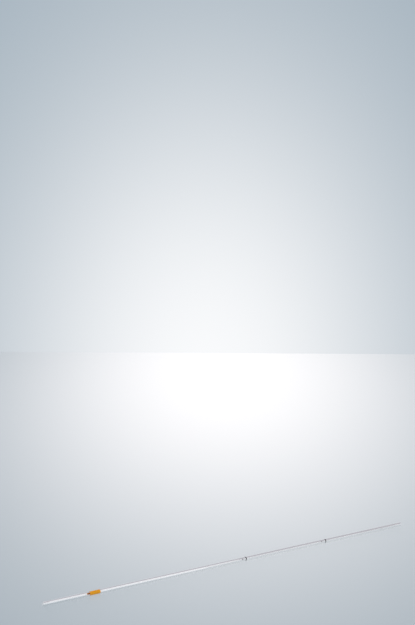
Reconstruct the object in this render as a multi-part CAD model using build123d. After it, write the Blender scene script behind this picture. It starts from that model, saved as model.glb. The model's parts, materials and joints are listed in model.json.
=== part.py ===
from build123d import *

import math
import os

# A disposable glass micropipette: one straight capillary tube of borosilicate 3.3 glass, cut to
# length and fire-polished at both ends, with three fired-on enamel marks. The wide orange band
# is the colour code of the nominal volume and shows which end goes into the pipetting aid. The
# two thin rings are the calibration marks: liquid drawn in from the delivery end up to a ring
# has that ring's volume, so a ring's place follows from the bore and from its volume.
#
# Frame: the tube lies along X on the plane z = 0, with its middle at x = 0 and its axis in y = 0.
# The holder end is at -X and the delivery end at +X. The enamel stands proud of the glass by the
# same thickness at all three marks, so the tube rests level on them.
#
# All lengths are in millimetres, and all volumes in microlitres, which are cubic millimetres.

# Glass
TUBE_LENGTH = 125.0
OUTER_DIAMETER = 1.05
BORE_DIAMETER = 0.47
OUTER_END_ROUNDING = 0.12   # fire-polished edge between the side and the end face
INNER_END_ROUNDING = 0.06   # fire-polished edge between the end face and the bore

# Enamel
ENAMEL_THICKNESS = 0.02
BAND_FROM_HOLDER_END = 14.7   # from the holder end to the near edge of the colour code band
BAND_WIDTH = 3.4
RING_WIDTH = 0.3
RING_VOLUMES = {"full_volume_ring": 10.0, "half_volume_ring": 5.0}

# Derived places
HOLDER_END_X = -TUBE_LENGTH / 2
DELIVERY_END_X = TUBE_LENGTH / 2
OUTER_RADIUS = OUTER_DIAMETER / 2
BORE_RADIUS = BORE_DIAMETER / 2
BORE_AREA = math.pi * BORE_RADIUS**2
AXIS_HEIGHT = OUTER_RADIUS + ENAMEL_THICKNESS


def revolved(profile):
    """Turns a profile, drawn with X along the tube and Y as the radius, into a solid on the tube's axis."""
    return Pos(0, 0, AXIS_HEIGHT) * revolve(profile, Axis.X)


def annulus_profile(start_x, end_x, inner_radius, outer_radius):
    """The section of a sleeve on one side of the axis."""
    middle = Pos((start_x + end_x) / 2, (inner_radius + outer_radius) / 2)
    return middle * Rectangle(end_x - start_x, outer_radius - inner_radius)


def glass_tube():
    """The drawn tube with its bore right through, and with all four end edges rounded by the flame."""
    section = annulus_profile(HOLDER_END_X, DELIVERY_END_X, BORE_RADIUS, OUTER_RADIUS)
    section = fillet(section.vertices().group_by(Axis.Y)[0], INNER_END_ROUNDING)
    section = fillet(section.vertices().group_by(Axis.Y)[-1], OUTER_END_ROUNDING)
    return revolved(section)


def enamel_sleeve(start_x, end_x):
    """A fired enamel mark: a thin sleeve whose inside face is the outside face of the glass."""
    outside = OUTER_RADIUS + ENAMEL_THICKNESS
    return revolved(annulus_profile(start_x, end_x, OUTER_RADIUS, outside))


def colour_code_band():
    start_x = HOLDER_END_X + BAND_FROM_HOLDER_END
    return enamel_sleeve(start_x, start_x + BAND_WIDTH)


def volume_ring(volume):
    """A ring whose middle is where the bore holds the volume, counted from the delivery end."""
    middle_x = DELIVERY_END_X - volume / BORE_AREA
    return enamel_sleeve(middle_x - RING_WIDTH / 2, middle_x + RING_WIDTH / 2)


nodes = {"glass_tube": glass_tube(), "colour_code_band": colour_code_band()}
for name, volume in RING_VOLUMES.items():
    nodes[name] = volume_ring(volume)

os.makedirs("parts", exist_ok=True)
for name, solid in nodes.items():
    export_step(solid, f"parts/{name}.step")
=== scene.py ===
"""A disposable ring-mark micropipette: a thin glass capillary tube lying on a pale table."""
import json
import math

import bpy
from mathutils import Euler, Matrix, Vector


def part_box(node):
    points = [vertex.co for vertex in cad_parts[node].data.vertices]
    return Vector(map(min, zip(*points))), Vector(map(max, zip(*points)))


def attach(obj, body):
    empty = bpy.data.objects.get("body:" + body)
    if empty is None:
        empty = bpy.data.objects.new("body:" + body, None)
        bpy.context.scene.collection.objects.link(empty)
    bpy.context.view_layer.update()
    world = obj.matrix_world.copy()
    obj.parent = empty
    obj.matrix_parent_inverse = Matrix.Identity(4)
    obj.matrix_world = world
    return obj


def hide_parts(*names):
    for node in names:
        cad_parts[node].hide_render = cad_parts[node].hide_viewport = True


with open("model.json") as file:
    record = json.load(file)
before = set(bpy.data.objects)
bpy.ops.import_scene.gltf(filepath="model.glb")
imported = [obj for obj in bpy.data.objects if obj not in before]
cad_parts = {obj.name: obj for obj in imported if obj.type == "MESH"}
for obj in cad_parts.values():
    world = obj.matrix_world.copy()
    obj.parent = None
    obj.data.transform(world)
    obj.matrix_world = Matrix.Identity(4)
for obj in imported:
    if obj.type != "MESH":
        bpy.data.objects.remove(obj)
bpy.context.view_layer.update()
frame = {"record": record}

MM = 0.001

# Finish sizes, in metres
OUTER_ROUNDING = 0.12 * MM      # fire-polished edge between side and end face
INNER_ROUNDING = 0.06 * MM      # fire-polished edge between end face and bore
ENAMEL_BITE = 0.003 * MM        # how far the fired enamel has sunk into the glass
EDGE_WAVER = 0.03 * MM          # how far a printed edge wanders inwards
SEGMENTS = 96

# The camera: where it stands as seen from the tube's middle, and where it looks
CAMERA_DISTANCE = 0.6478
CAMERA_AZIMUTH = math.radians(-126.8)
CAMERA_ELEVATION = math.radians(18.11)
LOOK_HEADING = math.radians(53.868)
LOOK_DOWN = math.radians(11.898)
CAMERA_ROLL = math.radians(0.345)
LENS = 131.8


# The stage: a table painted with a pool of light, graded from a light patch behind the tube to a cooler
# grey, and glowing with that painted tone
TABLE_BACK = 0.265              # how far behind the tube the table ends
GLOW_BEHIND = 0.234             # how far behind the tube the table is lightest: the middle of the painted pool of light
GLOW_REACH = (0.39, 0.13, 1)    # how far the painted pool of light reaches, along and across the camera's heading
# Painted pool of light: its colour at the middle, and the cooler grey it fades to
TABLE_PAINTED_POOL = (0.985, 0.98, 0.98, 1)
TABLE_GREY = (0.34, 0.398, 0.44, 1)
PAINTED_TABLE_GLOW = 0.83               # strength of the painted glow: the table gives off its own tone as light, standing in for light falling on it
TABLE_WHITENESS = 0.3           # how strongly the table answers to light from above

BACKDROP_LIGHT = (0.95, 0.96, 0.975, 1)
BACKDROP_GREY = (0.353, 0.431, 0.499, 1)
BACKDROP_MIDDLE = -0.2345       # sine of the direction in which the backdrop is lightest
BACKDROP_REACH = (1, 0.068, 0.095)
STUDIO_GREY = (0.46, 0.452, 0.49, 1)
HORIZON_WHITE = (1.0, 0.99, 1.03, 1)

# ---------------------------------------------------------------- shapes

def mesh_object(name, vertices, faces, material, smooth_angle=math.radians(40)):
    mesh = bpy.data.meshes.new(name)
    mesh.from_pydata(vertices, [], faces)
    mesh.validate()
    mesh.update()
    mesh.shade_smooth()
    mesh.materials.append(material)
    made = bpy.data.objects.new(name, mesh)
    bpy.context.scene.collection.objects.link(made)
    return made


def lathe(name, outline, axis_height, material, shift=lambda x, r, angle: (x, r)):
    """Turns a closed outline of (x, radius) points round the tube's axis into a closed mesh."""
    vertices, faces = [], []
    count = len(outline)
    for s in range(SEGMENTS):
        angle = 2 * math.pi * s / SEGMENTS
        for x, r in outline:
            x, r = shift(x, r, angle)
            vertices.append((x, -r * math.sin(angle), axis_height + r * math.cos(angle)))
        here, there = s * count, (s + 1) % SEGMENTS * count
        for i in range(count):
            j = (i + 1) % count
            faces.append((here + i, here + j, there + j, there + i))
    return mesh_object(name, vertices, faces, material)


def arc(centre_x, centre_r, radius, start, end, steps):
    """Points of an arc in the (x, radius) plane, angles in degrees."""
    angles = [math.radians(start + (end - start) * i / steps) for i in range(steps + 1)]
    return [(centre_x + radius * math.cos(a), centre_r + radius * math.sin(a)) for a in angles]


def straight(start_x, end_x, r, steps):
    """Points strictly between two places on a wall of constant radius."""
    return [(start_x + (end_x - start_x) * i / steps, r) for i in range(1, steps)]


# ---------------------------------------------------------------- materials

def new_material(name):
    material = bpy.data.materials.new(name)
    material.use_nodes = True
    nodes = material.node_tree.nodes
    return material, nodes, material.node_tree.links, nodes["Principled BSDF"]


def stretched_coordinates(nodes, links, scale):
    """Object coordinates, scaled along X, Y and Z."""
    place = nodes.new("ShaderNodeTexCoord")
    mapping = nodes.new("ShaderNodeMapping")
    mapping.inputs["Scale"].default_value = scale
    links.new(place.outputs["Object"], mapping.inputs["Vector"])
    return mapping.outputs["Vector"]


def noise(nodes, links, vector, scale, detail=2.0):
    texture = nodes.new("ShaderNodeTexNoise")
    texture.inputs["Scale"].default_value = scale
    texture.inputs["Detail"].default_value = detail
    links.new(vector, texture.inputs["Vector"])
    return texture.outputs["Fac"]


def spread(nodes, links, value, low, high):
    """Maps a noise value onto a range."""
    ramp = nodes.new("ShaderNodeMapRange")
    ramp.inputs["From Min"].default_value = 0.3
    ramp.inputs["From Max"].default_value = 0.7
    ramp.inputs["To Min"].default_value = low
    ramp.inputs["To Max"].default_value = high
    links.new(value, ramp.inputs["Value"])
    return ramp.outputs["Result"]


def bump(nodes, links, height, distance, strength):
    node = nodes.new("ShaderNodeBump")
    node.inputs["Distance"].default_value = distance
    node.inputs["Strength"].default_value = strength
    links.new(height, node.inputs["Height"])
    return node.outputs["Normal"]


def glass():
    """Clear borosilicate glass with the faint lengthwise lines of a drawn tube."""
    material, nodes, links, shader = new_material("borosilicate_glass")
    shader.inputs["Base Color"].default_value = (0.985, 0.992, 0.99, 1)
    shader.inputs["IOR"].default_value = 1.473
    shader.inputs["Transmission Weight"].default_value = 1.0
    shader.inputs["Roughness"].default_value = 0.03
    lines = noise(nodes, links, stretched_coordinates(nodes, links, (0.02, 1, 1)), 9000)
    links.new(bump(nodes, links, lines, 0.0004 * MM, 0.35), shader.inputs["Normal"])
    return material


def enamel(name, colour, speck_colour, roughness, gloss, translucency):
    """Fired ceramic ink: an even colour with faint mottling, and a satin skin."""
    material, nodes, links, shader = new_material(name)
    grain = noise(nodes, links, stretched_coordinates(nodes, links, (1, 1, 1)), 9000, 4)
    mix = nodes.new("ShaderNodeMix")
    mix.data_type = "RGBA"
    mix.inputs[6].default_value = colour
    mix.inputs[7].default_value = speck_colour
    links.new(spread(nodes, links, grain, 0.0, 1.0), mix.inputs[0])
    links.new(mix.outputs[2], shader.inputs["Base Color"])
    links.new(spread(nodes, links, grain, roughness - 0.05, roughness + 0.08), shader.inputs["Roughness"])
    links.new(bump(nodes, links, grain, 0.002 * MM, 0.4), shader.inputs["Normal"])
    shader.inputs["IOR"].default_value = 1.5
    shader.inputs["Specular IOR Level"].default_value = gloss
    shader.inputs["Subsurface Weight"].default_value = translucency
    shader.inputs["Subsurface Radius"].default_value = (1.0, 0.6, 0.2)
    shader.inputs["Subsurface Scale"].default_value = 0.05 * MM
    return material


# ---------------------------------------------------------------- the object

glass_low, glass_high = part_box("glass_tube")
axis_height = (glass_low[2] + glass_high[2]) / 2
bore = next(m for m in frame["record"]["mounts"] if m["name"] == "bore")
outside = next(m for m in frame["record"]["mounts"] if m["name"] == "outside")
bore_radius = bore["dims"]["r_mm"] * MM
glass_radius = outside["dims"]["r_mm"] * MM


def build_tube():
    x0, x1 = glass_low[0], glass_high[0]
    outer, inner = OUTER_ROUNDING, INNER_ROUNDING
    outline = arc(x0 + outer, glass_radius - outer, outer, 180, 90, 10)
    outline += straight(x0 + outer, x1 - outer, glass_radius, 60)
    outline += arc(x1 - outer, glass_radius - outer, outer, 90, 0, 10)
    outline += arc(x1 - inner, bore_radius + inner, inner, 0, -90, 8)
    outline += straight(x1 - inner, x0 + inner, bore_radius, 60)
    outline += arc(x0 + inner, bore_radius + inner, inner, 270, 180, 8)
    tube = lathe("drawn_tube", outline, axis_height, glass())
    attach(tube, "root")
    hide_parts("glass_tube")


def build_mark(node, material, phase):
    """An enamel mark: a thin layer with rounded shoulders and slightly wandering printed edges."""
    low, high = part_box(node)
    x0, x1 = low[0], high[0]
    inside = glass_radius - ENAMEL_BITE
    outer = axis_height
    thickness = outer - glass_radius
    shoulder = min(0.05 * MM, 0.3 * (x1 - x0))

    def waver(x, r, angle):
        wander = math.sin(3 * angle + phase) + 0.6 * math.sin(7 * angle + 2 * phase)
        wander += 0.4 * math.sin(13 * angle + 5 * phase)
        pull = EDGE_WAVER * (0.5 + wander / 4)
        share = (x - (x0 + x1) / 2) / ((x1 - x0) / 2)
        return x - pull * share * abs(share), r

    outline = [(x0, inside)]
    outline += [
        (x0 + shoulder * (1 - math.cos(a)), glass_radius + thickness * math.sin(a))
        for a in (math.pi / 2 * i / 6 for i in range(7))
    ]
    outline += straight(x0 + shoulder, x1 - shoulder, outer, 12)
    outline += [
        (x1 - shoulder * (1 - math.cos(a)), glass_radius + thickness * math.sin(a))
        for a in (math.pi / 2 * (1 - i / 6) for i in range(7))
    ]
    outline += [(x1, inside)]
    outline += straight(x1, x0, inside, 12)
    mark = lathe(f"{node}_enamel", outline, axis_height, material, waver)
    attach(mark, "root")
    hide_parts(node)


build_tube()
orange = enamel("orange_enamel", (1.0, 0.43, 0.008, 1), (0.96, 0.40, 0.007, 1), 0.38, 0.35, 0.12)
dark = enamel("dark_enamel", (0.006, 0.005, 0.009, 1), (0.010, 0.009, 0.014, 1), 0.45, 0.2, 0.0)
build_mark("colour_code_band", orange, 0.4)
build_mark("full_volume_ring", dark, 1.7)
build_mark("half_volume_ring", dark, 2.9)


# ---------------------------------------------------------------- the stage

def distance_from(nodes, links, coordinates, middle, reach):
    """Distance from a middle, measured in reaches along and across the camera's heading."""
    mapping = nodes.new("ShaderNodeMapping")
    mapping.vector_type = "TEXTURE"
    mapping.inputs["Location"].default_value = middle
    mapping.inputs["Rotation"].default_value = (0, 0, LOOK_HEADING)
    mapping.inputs["Scale"].default_value = reach
    links.new(coordinates, mapping.inputs["Vector"])
    return mapping.outputs["Vector"]


def length_of(nodes, links, vector):
    length = nodes.new("ShaderNodeVectorMath")
    length.operation = "LENGTH"
    links.new(vector, length.inputs[0])
    return length.outputs["Value"]


def maths(nodes, links, operation, first, second):
    node = nodes.new("ShaderNodeMath")
    node.operation = operation
    for socket, value in zip(node.inputs, (first, second)):
        if isinstance(value, (int, float)):
            socket.default_value = value
        else:
            links.new(value, socket)
    return node.outputs[0]


def mixed(nodes, links, share, colour, other):
    mix = nodes.new("ShaderNodeMix")
    mix.data_type = "RGBA"
    links.new(share, mix.inputs[0])
    for socket, value in ((mix.inputs[6], colour), (mix.inputs[7], other)):
        if isinstance(value, tuple):
            socket.default_value = value
        else:
            links.new(value, socket)
    return mix.outputs[2]


def build_floor():
    material, nodes, links, shader = new_material("painted_light_floor")
    place = nodes.new("ShaderNodeTexCoord")
    heading = Vector((math.cos(LOOK_HEADING), math.sin(LOOK_HEADING), 0))
    away = length_of(nodes, links, distance_from(
        nodes, links, place.outputs["Object"], heading * GLOW_BEHIND, GLOW_REACH))
    # The table's tone is a painted pool of light, lightest behind the tube and fading to a cooler grey
    tone = mixed(nodes, links, rising(nodes, links, away, 0, 1), TABLE_PAINTED_POOL, TABLE_GREY)
    skin = nodes.new("ShaderNodeVectorMath")
    skin.operation = "SCALE"
    skin.inputs["Scale"].default_value = TABLE_WHITENESS
    links.new(tone, skin.inputs[0])
    links.new(skin.outputs["Vector"], shader.inputs["Base Color"])
    # Painted glow: the table gives off its painted tone as light, besides answering faintly to the lamps
    links.new(tone, shader.inputs["Emission Color"])
    shader.inputs["Emission Strength"].default_value = PAINTED_TABLE_GLOW
    shader.inputs["Roughness"].default_value = 0.4
    shader.inputs["Specular IOR Level"].default_value = 0.1
    across = Vector((-heading.y, heading.x, 0))
    near, far, side = -1.5, TABLE_BACK, 1.5
    corners = [heading * d + across * s for d, s in ((near, -side), (near, side), (far, side), (far, -side))]
    floor = mesh_object("painted_light_floor", corners, [(0, 1, 2, 3)], material)


def area_light(name, place, aim, width, height, power, colour=(1, 1, 1)):
    data = bpy.data.lights.new(name, "AREA")
    data.shape = "RECTANGLE"
    data.size, data.size_y = width, height
    data.energy = power
    data.color = colour
    light = bpy.data.objects.new(name, data)
    light.location = place
    light.rotation_euler = (Vector(aim) - Vector(place)).to_track_quat("-Z", "Y").to_euler()
    bpy.context.scene.collection.objects.link(light)
    return light


def rising(nodes, links, value, low, high):
    """Rises smoothly from nought at low to one at high."""
    ramp = nodes.new("ShaderNodeMapRange")
    ramp.interpolation_type = "SMOOTHSTEP"
    ramp.inputs["From Min"].default_value = low
    ramp.inputs["From Max"].default_value = high
    links.new(value, ramp.inputs["Value"])
    return ramp.outputs["Result"]


def build_world():
    """An even grey studio above the table, and a graded backdrop behind and below its far edge."""
    world = bpy.data.worlds.new("studio")
    bpy.context.scene.world = world
    world.use_nodes = True
    nodes, links = world.node_tree.nodes, world.node_tree.links
    place = nodes.new("ShaderNodeTexCoord")
    around = distance_from(nodes, links, place.outputs["Generated"], (0, 0, BACKDROP_MIDDLE), BACKDROP_REACH)
    flat = nodes.new("ShaderNodeVectorMath")
    flat.operation = "MULTIPLY"
    flat.inputs[1].default_value = (0, 1, 1)
    links.new(around, flat.inputs[0])
    away = length_of(nodes, links, flat.outputs["Vector"])
    bell = maths(nodes, links, "POWER", math.exp(-0.5), maths(nodes, links, "MULTIPLY", away, away))
    backdrop = mixed(nodes, links, bell, BACKDROP_GREY, BACKDROP_LIGHT)
    split = nodes.new("ShaderNodeSeparateXYZ")
    links.new(place.outputs["Generated"], split.inputs["Vector"])
    climb = rising(nodes, links, split.outputs["Z"], -0.06, 0.0)
    darken = rising(nodes, links, split.outputs["Z"], 0.0, 0.5)
    studio = mixed(nodes, links, darken, HORIZON_WHITE, STUDIO_GREY)
    tone = mixed(nodes, links, climb, backdrop, studio)
    links.new(tone, nodes["Background"].inputs["Color"])
    nodes["Background"].inputs["Strength"].default_value = 1.0


def build_camera():
    data = bpy.data.cameras.new("camera")
    data.lens = LENS
    data.sensor_width = 36
    camera = bpy.data.objects.new("camera", data)
    level = math.cos(CAMERA_ELEVATION)
    away = Vector((
        level * math.cos(CAMERA_AZIMUTH),
        level * math.sin(CAMERA_AZIMUTH),
        math.sin(CAMERA_ELEVATION),
    ))
    camera.location = Vector((0, 0, axis_height)) + away * CAMERA_DISTANCE
    turn = Euler((math.pi / 2 - LOOK_DOWN, 0, LOOK_HEADING - math.pi / 2)).to_matrix()
    camera.rotation_euler = (turn @ Matrix.Rotation(CAMERA_ROLL, 3, "Z")).to_euler()
    data.clip_start, data.clip_end = 0.01, 100
    bpy.context.scene.collection.objects.link(camera)
    bpy.context.scene.camera = camera


build_floor()
build_world()
build_camera()
area_light("softbox", (-0.7, -0.3, 1.1), (0, 0, 0), 1.3, 1.3, 5.5)
edge_card = area_light(
    "edge_card", (-0.015, 0.011, 0.035), (-0.015, -0.059, 0.013), 0.066, 0.0734, 0.0046, (1, 0.98, 1))
edge_card.visible_camera = False
edge_card.visible_diffuse = False
edge_card.visible_glossy = False
for name, start, end, front, behind, power in (
    ("under_card", -0.063, -0.008, -0.0017, 0.012, 0.00062),
    ("faint_under_card", -0.008, 0.050, 0.0006, 0.006, 0.00017),
):
    place = ((start + end) / 2, (front + behind) / 2, 0.01 * MM)
    aim = (place[0], place[1], 1)
    card = area_light(name, place, aim, end - start, behind - front, power, (1, 0.95, 0.95))
    card.visible_camera = False
    card.visible_diffuse = False
    card.visible_glossy = False
bpy.context.scene.view_settings.view_transform = "Standard"
